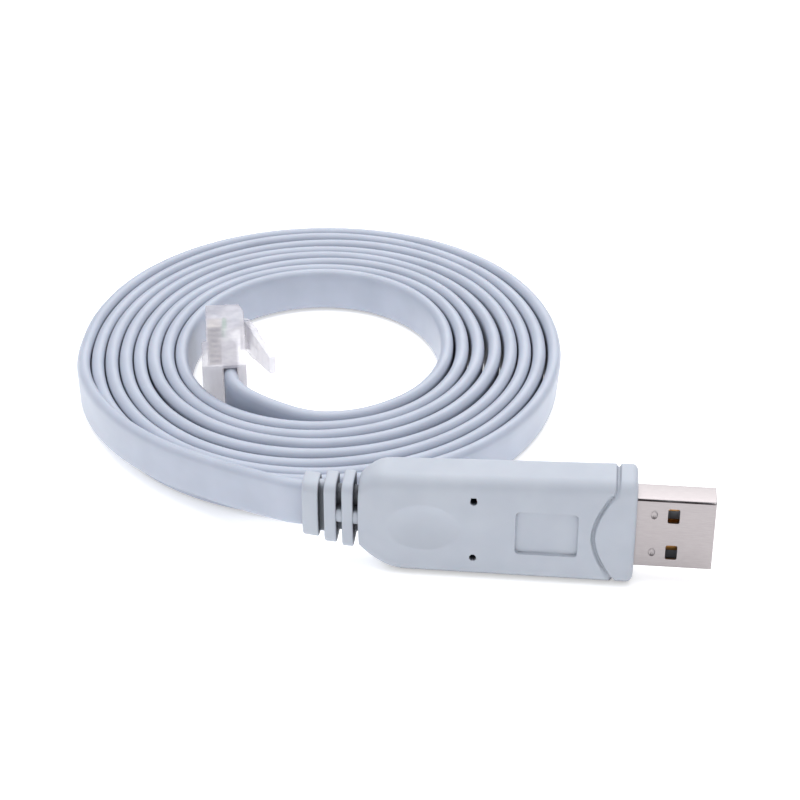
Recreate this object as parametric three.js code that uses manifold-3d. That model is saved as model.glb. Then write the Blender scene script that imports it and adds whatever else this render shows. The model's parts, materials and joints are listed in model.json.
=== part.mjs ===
// USB to RJ45 console cable: a USB plug in a grey moulding, a flat cable wound in a
// standing coil, and a clear RJ45 plug with its sprung latch inside the coil.
// Millimetres. X runs along the USB plug towards its tip, Y goes back, Z is up.
// The origin is at the bottom centre of the USB connector, on the surface it stands on.
import * as THREE from 'three';
import { mergeVertices } from 'three/addons/utils/BufferGeometryUtils.js';
import Module from 'manifold-3d';

// Clearances
const cordGap = 0.3;
const fitGap = 0.12;

// USB connector moulding
const reliefLength = 9.0;
const bodyLength = 41.4;
const bodyHeight = 17.4;
const rearDrop = 0.9;
const frontRise = 0.4;
const bodyThickness = 8.6;
const bodyCorner = 2.0;
const rearTopInset = 2.2;
const rearBottomInset = 3.1;
const rearSideInset = 1.0;
const topFlare = 4.0;
const bottomFlare = 7.4;
const sideFlare = 6.0;
const noseRound = 1.0;
const dimpleFromRear = 10.0;
const dimpleLength = 10.6;
const dimpleHeight = 7.8;
const dimpleDepth = 0.55;
const indicatorFromRear = 17.4;
const indicatorSpread = 9.9;
const indicatorRadius = 0.45;
const indicatorDepth = 1.6;
const panelFromRear = 28.3;
const panelLength = 9.2;
const panelHeight = 7.3;
const panelDepth = 0.4;
const panelCorner = 0.7;
const grooveWidth = 0.8;
const grooveDepth = 0.5;
const grooveMiddle = 6.2;
const grooveShoulder = 4.5;
const grooveTop = 2.9;
const grooveBottom = 3.0;

// Strain relief: rings on a sleeve, joined by short bridges
const ringLength = 2.6;
const laterRingShorter = 0.6;
const ringSlot = 0.95;
const ringEndHeight = 9.6;
const ringGrowth = 0.8;
const ringEndThickness = 5.4;
const ringThicknessGrowth = 0.5;
const ringCorner = 1.4;
const sleeveHeight = 8.9;
const sleeveThickness = 3.5;
const bridgeHeight = 2.3;
const reliefSag = 1.0;

// USB plug
const shellExposed = 11.6;
const shellBuried = 7.0;
const shellHeight = 12.0;
const shellThickness = 4.5;
const shellSheet = 0.3;
const shellCorner = 0.45;
const windowFromTip = 6.0;
const windowLength = 2.0;
const windowHeight = 2.5;
const windowSpread = 6.4;
const seamHeight = 0.28;
const seamDepth = 0.18;
const seamBelowTop = 0.3;
const seamStop = 0.25;
const tongueThickness = 1.85;
const tongueInset = 0.6;
const tongueSideGap = 0.15;
const contactInnerSpread = 2.0;
const contactOuterSpread = 7.0;
const contactWidth = 1.0;
const contactSheet = 0.2;
const contactInnerInset = 1.9;
const contactOuterInset = 1.2;
const contactLength = 7.4;

// Flat cable
const cableWidth = 7.7;
const cableThickness = 2.3;

// Coil: the outermost and innermost turn's centre line at its left and right, and how far
// the coil swells from a circle at its back and front
const coilCentre = new THREE.Vector2(-35.74, 54.26);
const coilTurn = THREE.MathUtils.degToRad(6);
const coilTurns = 8;
const outerTurnRadius = 40.8;
const innerTurnRadius = 23.1;
const outerSwellBack = 5.4;
const outerSwellFront = 3.8;
const innerSwellBack = 4.5;
const innerSwellFront = 4.9;
const innerShift = 0.9;
const ridgeCrest = 1.1;
const ridgeValley = 1.0;
const coilSegments = 64;

// Raised stretch of cable from the strain relief to where it joins the coil
const leadPoints = [
  [-31.5, 1.0, 8.7], [-33.2, 1.35, 8.6], [-35.2, 2.4, 8.3], [-38.3, 4.2, 7.8], [-41.7, 6.2, 7.3], [-45.3, 8.2, 6.95],
  [-49.1, 10.3, 6.65], [-54.1, 13.2, 6.4], [-59.0, 16.9, 6.15], [-63.6, 21.4, 5.75], [-67.6, 26.5, 5.25],
  [-71.2, 32.2, 4.8], [-73.9, 38.2, 4.4], [-75.6, 44.2, 4.05], [-76.37, 49.99, 3.85],
];

// Stretch of cable from the innermost turn to the back of the RJ45 plug
const tailPoints = [
  [-13.71, 56.58, 3.85], [-13.67, 50.76, 3.85], [-14.82, 44.95, 3.85], [-17.32, 39.35, 3.85], [-21.4, 34.5, 3.85],
  [-26.6, 31.0, 3.85], [-32.3, 29.5, 4.0], [-35.9, 29.7, 4.25], [-39.4, 30.5, 4.75], [-42.7, 31.5, 5.35],
  [-45.2, 32.4, 6.05], [-47.0, 33.7, 6.6], [-47.95, 35.2, 6.9], [-48.42, 36.7, 7.04],
];

// RJ45 plug
const plugRear = new THREE.Vector3(-49.4, 36.5, 0);
const plugYaw = THREE.MathUtils.degToRad(11.3);
const plugWidth = 11.68;
const plugLength = 22.5;
const plugNoseThickness = 6.0;
const plugLatchStep = 0.7;
const plugNoseTaper = 3.0;
const plugStepThickness = 0.75;
const plugStepFromNose = 13.3;
const plugStepSlope = 0.4;
const jacketShift = 1.0;
const jacketRise = 1.2;
const jacketDepth = 11.0;
const wireRoomDepth = 5.6;
const wireRoomThickness = 1.3;
const bladeCount = 8;
const bladePitch = 1.02;
const bladeThickness = 0.34;
const bladeSlot = 0.56;
const bladeLength = 3.1;
const bladeDepth = 2.6;
const bladeFromNose = 1.4;
const bladeRecess = 0.25;
const wedgeLength = 4.2;
const wedgeDepth = 1.3;
const wedgeFromRear = 2.6;
const wedgeWidth = 8.4;
const latchRootWidth = 6.0;
const latchTipWidth = 3.2;
const latchShoulder = 3.6;
const latchNeckWidth = 5.2;
const latchNeckTaper = 0.5;
const latchRise = 0.05;
const latchLength = 12.0;
const latchThickness = 1.15;
const latchAngle = THREE.MathUtils.degToRad(19.5);
const latchRootGap = 0.4;
const latchHeelGap = 0.15;
const latchRootRise = 1.8;
const latchPivotFromNose = 1.3;

// Places worked out from the sizes above
const connectorLength = reliefLength + bodyLength + shellExposed;
const reliefRearX = -connectorLength / 2;
const bodyRearX = reliefRearX + reliefLength;
const faceX = bodyRearX + bodyLength;
const tipX = faceX + shellExposed;
const axisZ = bodyHeight / 2;

const wasm = await Module();
wasm.setup();

function toSolid(geometry) {
  const plain = geometry.clone();
  plain.deleteAttribute('normal');
  plain.deleteAttribute('uv');
  const merged = mergeVertices(plain, 1e-5);
  return new wasm.Manifold(new wasm.Mesh({
    numProp: 3,
    vertProperties: new Float32Array(merged.attributes.position.array),
    triVerts: new Uint32Array(merged.index.array),
  }));
}

function fromSolid(solid) {
  const result = solid.getMesh();
  const geometry = new THREE.BufferGeometry();
  geometry.setAttribute('position', new THREE.BufferAttribute(new Float32Array(result.vertProperties), 3));
  geometry.setIndex(new THREE.BufferAttribute(new Uint32Array(result.triVerts), 1));
  geometry.computeVertexNormals();
  return geometry;
}

// A rectangle with round corners, centred on the origin
function roundedRect(width, height, radius, cornerSteps = 4) {
  const corners = [
    [width / 2 - radius, height / 2 - radius, 0],
    [-width / 2 + radius, height / 2 - radius, 1],
    [-width / 2 + radius, -height / 2 + radius, 2],
    [width / 2 - radius, -height / 2 + radius, 3],
  ];
  const points = [];
  for (const [x, y, quarter] of corners) {
    for (let step = 0; step <= cornerSteps; step += 1) {
      const angle = (quarter + step / cornerSteps) * Math.PI / 2;
      points.push(new THREE.Vector2(x + radius * Math.cos(angle), y + radius * Math.sin(angle)));
    }
  }
  return new THREE.Shape(points);
}

function boxAt(low, high) {
  const size = high.map((value, axis) => value - low[axis]);
  const geometry = new THREE.BoxGeometry(...size);
  geometry.translate(...high.map((value, axis) => (value + low[axis]) / 2));
  return geometry;
}

// A prism with its outline in X and Z, from yLow to yHigh
function prismXZ(shape, yLow, yHigh) {
  const geometry = new THREE.ExtrudeGeometry(shape, { depth: yHigh - yLow, bevelEnabled: false });
  geometry.rotateX(Math.PI / 2);
  geometry.translate(0, yHigh, 0);
  return geometry;
}

// A prism with its outline in Y and Z, from xLow to xHigh
function prismYZ(shape, xLow, xHigh) {
  const geometry = new THREE.ExtrudeGeometry(shape, { depth: xHigh - xLow, bevelEnabled: false });
  geometry.applyMatrix4(new THREE.Matrix4().set(0, 0, 1, xLow, 1, 0, 0, 0, 0, 1, 0, 0, 0, 0, 0, 1));
  return geometry;
}

// Section stations along X: height, thickness and the middle's height, corners kept round
function loft(stations, radius, cornerSteps = 4) {
  const widest = Math.max(...stations.map((station) => station.thickness));
  const tallest = Math.max(...stations.map((station) => station.height));
  const geometry = new THREE.ExtrudeGeometry(roundedRect(widest, tallest, radius, cornerSteps), {
    depth: stations.length - 1, steps: stations.length - 1, bevelEnabled: false,
  });
  const position = geometry.attributes.position;
  for (let index = 0; index < position.count; index += 1) {
    const station = stations[Math.round(position.getZ(index))];
    const y = position.getX(index);
    const z = position.getY(index);
    position.setXYZ(
      index,
      station.x,
      y - Math.sign(y) * (widest - station.thickness) / 2,
      station.middle + z - Math.sign(z) * (tallest - station.height) / 2,
    );
  }
  return geometry;
}

// The moulding's top, bottom and thickness at one place along it, flared behind
function bodyEnds(x) {
  const run = x - bodyRearX;
  const flare = (length) => Math.max(0, 1 - run / length) ** 2;
  return {
    top: bodyHeight - rearDrop + (rearDrop + frontRise) * run / bodyLength - rearTopInset * flare(topFlare),
    bottom: rearBottomInset * flare(bottomFlare),
    thickness: bodyThickness - 2 * rearSideInset * flare(sideFlare),
  };
}

// Stations along the moulding: flared behind, rising slightly, rounded at the front edge
function bodyStations(inset) {
  const stations = [];
  const addStation = (x, shrink) => {
    const { top, bottom, thickness } = bodyEnds(x);
    const height = top - bottom - 2 * shrink;
    stations.push({ x, height, thickness: thickness - 2 * shrink, middle: (top + bottom) / 2 });
  };
  const flareSteps = 8;
  const longest = Math.max(topFlare, bottomFlare, sideFlare);
  for (let step = 0; step <= flareSteps; step += 1) {
    addStation(bodyRearX + longest * step / flareSteps, inset);
  }
  const roundSteps = 4;
  for (let step = 0; step <= roundSteps; step += 1) {
    const turn = step / roundSteps * Math.PI / 2;
    addStation(faceX - noseRound * (1 - Math.sin(turn)), inset + noseRound * (1 - Math.cos(turn)));
  }
  return stations;
}

// The wavy groove's centre line, from above the moulding to below it
function grooveLine() {
  const points = [
    [faceX - grooveTop, bodyHeight + frontRise + 1], [faceX - grooveTop - 0.15, axisZ + 7.6],
    [faceX - grooveShoulder, axisZ + 5.6], [faceX - grooveMiddle, axisZ],
    [faceX - grooveMiddle + 0.9, axisZ - 4], [faceX - grooveBottom, axisZ - 8.1],
    [faceX - grooveBottom + 0.6, -1],
  ];
  return new THREE.SplineCurve(points.map(([x, z]) => new THREE.Vector2(x, z)));
}

function grooveBand() {
  const line = grooveLine();
  const steps = 20;
  const left = [];
  const right = [];
  for (let step = 0; step <= steps; step += 1) {
    const point = line.getPoint(step / steps);
    const along = line.getTangent(step / steps);
    left.push(new THREE.Vector2(point.x - along.y * grooveWidth / 2, point.y + along.x * grooveWidth / 2));
    right.push(new THREE.Vector2(point.x + along.y * grooveWidth / 2, point.y - along.x * grooveWidth / 2));
  }
  return prismXZ(new THREE.Shape([...left, ...right.reverse()]), -bodyThickness, bodyThickness);
}

function strainRelief() {
  const step = ringLength + ringSlot;
  const slots = [];
  let solid = toSolid(prismYZ(roundedRect(sleeveThickness, sleeveHeight, ringCorner), reliefRearX, bodyRearX + 1));
  for (let ring = 0; ring < 3; ring += 1) {
    const length = ring === 0 ? ringLength : ringLength - laterRingShorter;
    const start = reliefRearX + ring * step - Math.max(0, ring - 1) * laterRingShorter;
    const height = ringEndHeight + ring * ringGrowth;
    const thickness = ringEndThickness + ring * ringThicknessGrowth;
    const plate = prismYZ(roundedRect(thickness, height, ringCorner), start, start + length);
    solid = solid.add(toSolid(plate));
    slots.push({ low: start + length, height, thickness });
  }
  slots.forEach(({ low, height, thickness }, slot) => {
    const high = Math.min(low + ringSlot + 0.2, bodyRearX + 0.2);
    const across = thickness / 2 - 0.3;
    const edge = height / 2 - 0.4;
    const bridges = slot === 0
      ? [boxAt([low - 0.2, -across / 2, -edge], [high, across / 2, edge])]
      : [boxAt([low - 0.2, -across, -bridgeHeight / 2], [high, across, bridgeHeight / 2])];
    for (const bridge of bridges) {
      solid = solid.add(toSolid(bridge));
    }
  });
  const geometry = fromSolid(solid);
  const position = geometry.attributes.position;
  for (let index = 0; index < position.count; index += 1) {
    const back = Math.max(0, (bodyRearX - position.getX(index)) / reliefLength);
    position.setY(index, position.getY(index) + reliefSag * back * back);
    position.setZ(index, position.getZ(index) + axisZ);
  }
  return toSolid(geometry);
}

function shellOutline(growth) {
  return roundedRect(shellThickness + 2 * growth, shellHeight + 2 * growth, shellCorner + growth);
}

function usbMoulding() {
  const outer = toSolid(loft(bodyStations(0), bodyCorner));
  const core = toSolid(loft(bodyStations(grooveDepth), bodyCorner));
  let solid = outer.subtract(toSolid(grooveBand()).subtract(core));
  solid = solid.add(strainRelief());

  const frontY = -bodyThickness / 2;
  const dimple = new THREE.SphereGeometry(1, 24, 16);
  dimple.scale(dimpleLength / 2, 2, dimpleHeight / 2);
  const dimpleX = bodyRearX + dimpleFromRear;
  for (const side of [-1, 1]) {
    const placed = dimple.clone();
    placed.translate(dimpleX, side * (-frontY + 2 - dimpleDepth), axisZ);
    solid = solid.subtract(toSolid(placed));
  }
  for (const side of [-1, 1]) {
    const hole = new THREE.CylinderGeometry(indicatorRadius, indicatorRadius, 2 * indicatorDepth, 12);
    hole.translate(bodyRearX + indicatorFromRear, frontY, axisZ + side * indicatorSpread / 2);
    solid = solid.subtract(toSolid(hole));
  }
  const panelX = bodyRearX + panelFromRear;
  const panel = prismXZ(roundedRect(panelLength, panelHeight, panelCorner), frontY - 1, frontY + panelDepth);
  panel.translate(panelX, 0, axisZ);
  solid = solid.subtract(toSolid(panel));

  const pocket = prismYZ(shellOutline(fitGap), faceX - shellBuried - fitGap, faceX + 1);
  pocket.translate(0, 0, axisZ);
  return fromSolid(solid.subtract(toSolid(pocket)));
}

function usbShell() {
  const rearX = faceX - shellBuried;
  const tube = prismYZ(shellOutline(0), rearX, tipX);
  const bore = prismYZ(shellOutline(-shellSheet), rearX - 1, tipX + 1);
  let solid = toSolid(tube).subtract(toSolid(bore));
  for (const side of [-1, 1]) {
    const window = boxAt(
      [tipX - windowFromTip - windowLength / 2, -shellThickness, side * windowSpread / 2 - windowHeight / 2],
      [tipX - windowFromTip + windowLength / 2, shellThickness, side * windowSpread / 2 + windowHeight / 2],
    );
    solid = solid.subtract(toSolid(window));
  }
  const seamTop = shellHeight / 2 - seamBelowTop;
  const seam = boxAt(
    [faceX - shellBuried / 2, -shellThickness, seamTop - seamHeight],
    [tipX - seamStop, -shellThickness / 2 + seamDepth, seamTop],
  );
  return fromSolid(solid.subtract(toSolid(seam)).translate([0, 0, axisZ]));
}

const tongueBackY = shellThickness / 2 - shellSheet - fitGap;
const tongueFrontY = tongueBackY - tongueThickness;

// The tongue lies against the back wall, and a block behind it fills the shell
function usbInsulator() {
  const blockFrontX = faceX - 1;
  const rearX = faceX - shellBuried + fitGap;
  const half = shellHeight / 2 - shellSheet - tongueSideGap;
  const tongue = toSolid(boxAt([rearX, tongueFrontY, axisZ - half], [tipX - tongueInset, tongueBackY, axisZ + half]));
  const block = toSolid(boxAt([rearX, -tongueBackY, axisZ - half], [blockFrontX, tongueBackY, axisZ + half]));
  return fromSolid(tongue.add(block));
}

function usbContact(offset, inset) {
  const front = tipX - tongueInset - inset;
  return boxAt(
    [front - contactLength, tongueFrontY - fitGap - contactSheet, axisZ + offset - contactWidth / 2],
    [front, tongueFrontY - fitGap, axisZ + offset + contactWidth / 2],
  );
}

// Flat cable swept along a line, with its width kept upright and its edges round
function ribbon(points, width, thickness, steps) {
  const curve = new THREE.CatmullRomCurve3(points.map((point) => new THREE.Vector3(...point)));
  const shape = roundedRect(1, 1, 0.36, 1);
  const geometry = new THREE.ExtrudeGeometry(shape, { steps, bevelEnabled: false, extrudePath: curve });
  const centres = Array.from({ length: steps + 1 }, (unused, step) => curve.getPointAt(step / steps));
  const sides = Array.from({ length: steps + 1 }, (unused, step) => {
    const along = curve.getTangentAt(step / steps);
    return new THREE.Vector3(-along.y, along.x, 0).normalize();
  });
  const frames = curve.computeFrenetFrames(steps, false);
  const position = geometry.attributes.position;
  const vertex = new THREE.Vector3();
  for (let index = 0; index < position.count; index += 1) {
    vertex.fromBufferAttribute(position, index);
    let ring = 0;
    for (let step = 1; step <= steps; step += 1) {
      if (vertex.distanceToSquared(centres[step]) < vertex.distanceToSquared(centres[ring])) {
        ring = step;
      }
    }
    vertex.sub(centres[ring]);
    const u = vertex.dot(frames.normals[ring]);
    const v = vertex.dot(frames.binormals[ring]);
    vertex.copy(centres[ring]).addScaledVector(sides[ring], u * thickness);
    vertex.z += v * width;
    position.setXYZ(index, vertex.x, vertex.y, vertex.z);
  }
  return geometry;
}

// How far the coil's wall lies outside the turned circle at one bearing
function swell(bearing, backSwell, frontSwell, shift) {
  const back = Math.sin(bearing);
  return (back > 0 ? backSwell : frontSwell) * back * back - shift * Math.cos(bearing);
}

function coilRing() {
  const pitch = (outerTurnRadius - innerTurnRadius) / (coilTurns - 1);
  const half = cableThickness / 2;
  const profile = [];
  for (let turn = 0; turn < coilTurns; turn += 1) {
    const radius = innerTurnRadius + turn * pitch;
    if (turn === 0) {
      profile.push([radius - half, half]);
    }
    profile.push([radius - ridgeCrest / 2, 0]);
    profile.push([radius + ridgeCrest / 2, 0]);
    profile.push(turn === coilTurns - 1 ? [radius + half, half] : [radius + pitch / 2, ridgeValley]);
  }
  const bottom = profile.map(([radius, inset]) => new THREE.Vector2(radius, inset));
  const top = profile.map(([radius, inset]) => new THREE.Vector2(radius, cableWidth - inset)).reverse();
  const outline = [...bottom, ...top];
  outline.push(outline[0].clone());
  const geometry = new THREE.LatheGeometry(outline, coilSegments);
  geometry.rotateX(Math.PI / 2);
  const position = geometry.attributes.position;
  for (let index = 0; index < position.count; index += 1) {
    const x = position.getX(index);
    const y = position.getY(index);
    const radius = Math.hypot(x, y);
    const bearing = Math.atan2(y, x);
    const outward = (radius - innerTurnRadius + half) / (outerTurnRadius - innerTurnRadius + 2 * half);
    const inner = swell(bearing, innerSwellBack, innerSwellFront, innerShift);
    const outer = swell(bearing, outerSwellBack, outerSwellFront, 0);
    const moved = radius + inner + (outer - inner) * outward;
    position.setX(index, moved * Math.cos(bearing));
    position.setY(index, moved * Math.sin(bearing));
  }
  geometry.rotateZ(coilTurn);
  geometry.translate(coilCentre.x, coilCentre.y, 0);
  return geometry;
}

// The plug's own frame: X across its thickness towards the latch, Y towards its nose
const plugFrame = new THREE.Matrix4().makeRotationZ(plugYaw).setPosition(plugRear);
const plugMiddleZ = plugWidth / 2;
const plugContactX = -plugNoseThickness / 2;
const plugNoseX = plugNoseThickness / 2;
const plugLatchX = plugNoseX + plugLatchStep;

// Where the lead, the tail and the plug lie against the coil, their place is cut out of it
function coilSolid() {
  const tall = 3 * cableWidth;
  const wide = cableThickness + 2 * cordGap;
  const flat = (points) => points.map(([x, y]) => [x, y, cableWidth / 2]);
  const leadCut = toSolid(ribbon(flat(leadPoints), tall, wide, 40));
  const tailCut = toSolid(ribbon(flat(tailPoints), tall, wide, 36));
  const plugRoom = boxAt(
    [plugContactX - plugStepThickness - cordGap, -cordGap, -1],
    [plugLatchX + cordGap, plugLength + cordGap, plugWidth + 1],
  ).applyMatrix4(plugFrame);
  const ring = toSolid(coilRing());
  return fromSolid(ring.subtract(leadCut).subtract(tailCut).subtract(toSolid(plugRoom)));
}

function plugBox(low, high) {
  return toSolid(boxAt(low, high));
}

function plugBody() {
  const rootY = plugLength - latchPivotFromNose + latchRootGap;
  const outline = new THREE.Shape([
    new THREE.Vector2(plugContactX - plugStepThickness, 0),
    new THREE.Vector2(plugLatchX, 0),
    new THREE.Vector2(plugLatchX, plugLength - plugNoseTaper),
    new THREE.Vector2(plugLatchX - plugLatchStep * (plugNoseTaper + rootY - plugLength) / plugNoseTaper, rootY),
    new THREE.Vector2(plugNoseX + latchRootRise, rootY),
    new THREE.Vector2(plugNoseX + latchRootRise * 0.7, plugLength - 0.3),
    new THREE.Vector2(plugNoseX, plugLength),
    new THREE.Vector2(plugContactX, plugLength),
    new THREE.Vector2(plugContactX, plugLength - plugStepFromNose),
    new THREE.Vector2(plugContactX - plugStepThickness, plugLength - plugStepFromNose - plugStepSlope),
  ]);
  const block = new THREE.ExtrudeGeometry(outline, { depth: plugWidth, bevelEnabled: false });
  let solid = toSolid(block);
  const sideZ = (plugWidth - latchRootWidth) / 2;
  const above = [plugLatchX, rootY - 0.5, -1];
  solid = solid.subtract(plugBox(above, [plugLatchX + 4, plugLength + 1, sideZ]));
  solid = solid.subtract(plugBox([above[0], above[1], plugWidth - sideZ], [plugLatchX + 4, plugLength + 1, plugWidth + 1]));
  const jacketHalf = cableThickness / 2 + cordGap;
  solid = solid.subtract(plugBox(
    [jacketShift - jacketHalf, -1, plugMiddleZ + jacketRise - cableWidth / 2 - cordGap],
    [jacketShift + jacketHalf, jacketDepth, plugMiddleZ + jacketRise + cableWidth / 2 + cordGap],
  ));
  const comb = bladePitch * (bladeCount - 1) / 2 + bladeSlot;
  solid = solid.subtract(plugBox(
    [jacketShift - wireRoomThickness / 2, jacketDepth - 0.5, plugMiddleZ - comb],
    [jacketShift + wireRoomThickness / 2, jacketDepth + wireRoomDepth, plugMiddleZ + comb],
  ));
  for (let blade = 0; blade < bladeCount; blade += 1) {
    const z = plugMiddleZ + (blade - (bladeCount - 1) / 2) * bladePitch;
    solid = solid.subtract(plugBox(
      [plugContactX - 1, plugLength - bladeFromNose - bladeLength - fitGap, z - bladeSlot / 2],
      [plugContactX + bladeDepth + fitGap, plugLength + 1, z + bladeSlot / 2],
    ));
  }
  const step = plugContactX - plugStepThickness;
  solid = solid.subtract(plugBox(
    [step - 1, wedgeFromRear, plugMiddleZ - wedgeWidth / 2],
    [step + wedgeDepth, wedgeFromRear + wedgeLength, plugMiddleZ + wedgeWidth / 2],
  ));
  return fromSolid(solid).applyMatrix4(plugFrame);
}

function plugBlade(index) {
  const z = plugMiddleZ + (index - (bladeCount - 1) / 2) * bladePitch;
  const front = plugLength - bladeFromNose;
  const blade = boxAt(
    [plugContactX + bladeRecess, front - bladeLength, z - bladeThickness / 2],
    [plugContactX + bladeDepth, front, z + bladeThickness / 2],
  );
  return blade.applyMatrix4(plugFrame);
}

// The latch leans away from the plug, and is narrower past its shoulders
function plugLatch() {
  const pivotY = plugLength - latchPivotFromNose;
  const neckY = -latchShoulder - latchNeckTaper;
  const lever = new THREE.Shape([
    new THREE.Vector2(0, -latchRootWidth / 2),
    new THREE.Vector2(0, latchRootWidth / 2),
    new THREE.Vector2(-latchShoulder, latchRootWidth / 2),
    new THREE.Vector2(neckY, latchNeckWidth / 2),
    new THREE.Vector2(-latchLength, latchTipWidth / 2),
    new THREE.Vector2(-latchLength, -latchTipWidth / 2),
    new THREE.Vector2(neckY, -latchNeckWidth / 2),
    new THREE.Vector2(-latchShoulder, -latchRootWidth / 2),
  ]);
  const geometry = new THREE.ExtrudeGeometry(lever, { depth: latchThickness, bevelEnabled: false });
  const upright = new THREE.Matrix4().set(0, 0, 1, 0, 1, 0, 0, 0, 0, 1, 0, 0, 0, 0, 0, 1);
  geometry.applyMatrix4(upright);
  geometry.rotateZ(latchAngle);
  geometry.translate(plugLatchX + latchRise, pivotY - latchHeelGap, plugMiddleZ);
  return geometry.applyMatrix4(plugFrame);
}

const cablePaint = { color: 0xc3cad9, roughness: 0.5, metalness: 0 };
const mouldingPaint = { color: 0xc2c6d0, roughness: 0.6, metalness: 0 };
const steelPaint = { color: 0xc9c3c4, roughness: 0.28, metalness: 1 };
const tonguePaint = { color: 0x3c3d42, roughness: 0.5, metalness: 0 };
const goldPaint = { color: 0xd9a94e, roughness: 0.25, metalness: 1 };
const clearPaint = { color: 0xe6e5ea, roughness: 0.15, metalness: 0, transparent: true, opacity: 0.45 };

const group = new THREE.Group();

function addPiece(name, geometry, paint) {
  const mesh = new THREE.Mesh(geometry, new THREE.MeshStandardMaterial(paint));
  mesh.name = name;
  group.add(mesh);
}

addPiece('usb_moulding', usbMoulding(), mouldingPaint);
addPiece('usb_shell', usbShell(), steelPaint);
addPiece('usb_insulator', usbInsulator(), tonguePaint);
const contactPlaces = [
  [-contactOuterSpread / 2, contactOuterInset - 1],
  [-contactInnerSpread / 2, contactInnerInset - 1],
  [contactInnerSpread / 2, contactInnerInset - 1],
  [contactOuterSpread / 2, contactOuterInset - 1],
];
contactPlaces.forEach(([offset, inset], index) => {
  addPiece(`usb_contact_${index + 1}`, usbContact(offset, inset), goldPaint);
});
addPiece('cable_lead', ribbon(leadPoints, cableWidth, cableThickness, 34), cablePaint);
addPiece('cable_coil', coilSolid(), cablePaint);
addPiece('cable_tail', ribbon(tailPoints, cableWidth, cableThickness, 30), cablePaint);
addPiece('rj45_body', plugBody(), clearPaint);
for (let blade = 0; blade < bladeCount; blade += 1) {
  addPiece(`rj45_contact_${blade + 1}`, plugBlade(blade), goldPaint);
}
addPiece('rj45_latch', plugLatch(), clearPaint);

export default group;
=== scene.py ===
# USB to RJ45 console cable: a grey moulded USB plug, a flat cable wound in a standing coil,
# and a clear modular plug lying inside it. Everything is in metres, in the part's own frame.
import bpy
import json
import math
from mathutils import Matrix, Vector

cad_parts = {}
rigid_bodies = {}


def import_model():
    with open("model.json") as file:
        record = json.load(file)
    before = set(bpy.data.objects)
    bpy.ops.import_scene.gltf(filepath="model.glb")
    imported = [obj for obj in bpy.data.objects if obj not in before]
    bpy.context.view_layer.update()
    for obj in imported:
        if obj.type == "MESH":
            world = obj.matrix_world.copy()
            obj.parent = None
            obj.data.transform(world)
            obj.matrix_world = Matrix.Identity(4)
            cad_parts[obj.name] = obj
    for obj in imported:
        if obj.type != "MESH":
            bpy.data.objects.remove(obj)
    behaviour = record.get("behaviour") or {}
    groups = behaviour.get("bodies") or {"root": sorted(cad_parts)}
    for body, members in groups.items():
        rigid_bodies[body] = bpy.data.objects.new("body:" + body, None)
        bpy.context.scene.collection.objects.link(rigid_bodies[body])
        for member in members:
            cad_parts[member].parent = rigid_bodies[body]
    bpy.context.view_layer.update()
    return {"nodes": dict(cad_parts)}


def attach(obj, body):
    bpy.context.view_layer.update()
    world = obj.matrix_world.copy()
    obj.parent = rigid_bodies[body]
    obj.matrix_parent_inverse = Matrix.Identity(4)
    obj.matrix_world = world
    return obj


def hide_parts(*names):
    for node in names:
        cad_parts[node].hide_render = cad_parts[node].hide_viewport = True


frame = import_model()
mm = 0.001
print("part loaded")


def linearColour(hexText):
    # sRGB hex to the linear values a shader wants
    values = [int(hexText[i:i + 2], 16) / 255 for i in (1, 3, 5)]
    return [v / 12.92 if v <= 0.04045 else ((v + 0.055) / 1.055) ** 2.4 for v in values] + [1.0]


def addNode(tree, kind, settings=None, links=None):
    # settings: socket or property to value, links: socket to (node, output)
    node = tree.nodes.new(kind)
    for name, value in (settings or {}).items():
        if name in node.inputs.keys():
            node.inputs[name].default_value = value
        else:
            setattr(node, name, value)
    for name, (source, output) in (links or {}).items():
        tree.links.new(source.outputs[output], node.inputs[name])
    return node


def startMaterial(name, settings):
    material = bpy.data.materials.new(name)
    material.use_nodes = True
    tree = material.node_tree
    shader = tree.nodes["Principled BSDF"]
    for socket, value in settings.items():
        shader.inputs[socket].default_value = value
    return material, tree, shader


def paintCreviceShade(tree, shader, tones, reach, darkest, between):
    # painted shade: ambient occlusion darkens the base colour in deep slots and the gaps between turns, where
    # little light gets in
    opening = addNode(tree, "ShaderNodeAmbientOcclusion", {"Distance": reach, "samples": 8})
    paintedShadeRamp = addNode(tree, "ShaderNodeValToRGB", links={"Fac": (opening, "AO")})
    paintedShadeRamp.color_ramp.elements[0].position = between[0]
    paintedShadeRamp.color_ramp.elements[0].color = linearColour(darkest)
    paintedShadeRamp.color_ramp.elements[1].position = between[1]
    paintedShadeRamp.color_ramp.elements[1].color = linearColour("#FFFFFF")
    shaded = addNode(tree, "ShaderNodeMixRGB", {"blend_type": "MULTIPLY", "Fac": 1.0},
                     {"Color1": (tones, "Color"), "Color2": (paintedShadeRamp, "Color")})
    tree.links.new(shaded.outputs["Color"], shader.inputs["Base Color"])


def makeObject(name, corners, faces, material, smooth=True, sharpAngle=40):
    mesh = bpy.data.meshes.new(name)
    mesh.from_pydata([tuple(c) for c in corners], [], faces)
    mesh.materials.append(material)
    mesh.validate()
    if smooth:
        mesh.shade_smooth()
        mesh.set_sharp_from_angle(angle=math.radians(sharpAngle))
    obj = bpy.data.objects.new(name, mesh)
    bpy.context.scene.collection.objects.link(obj)
    return obj


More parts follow.
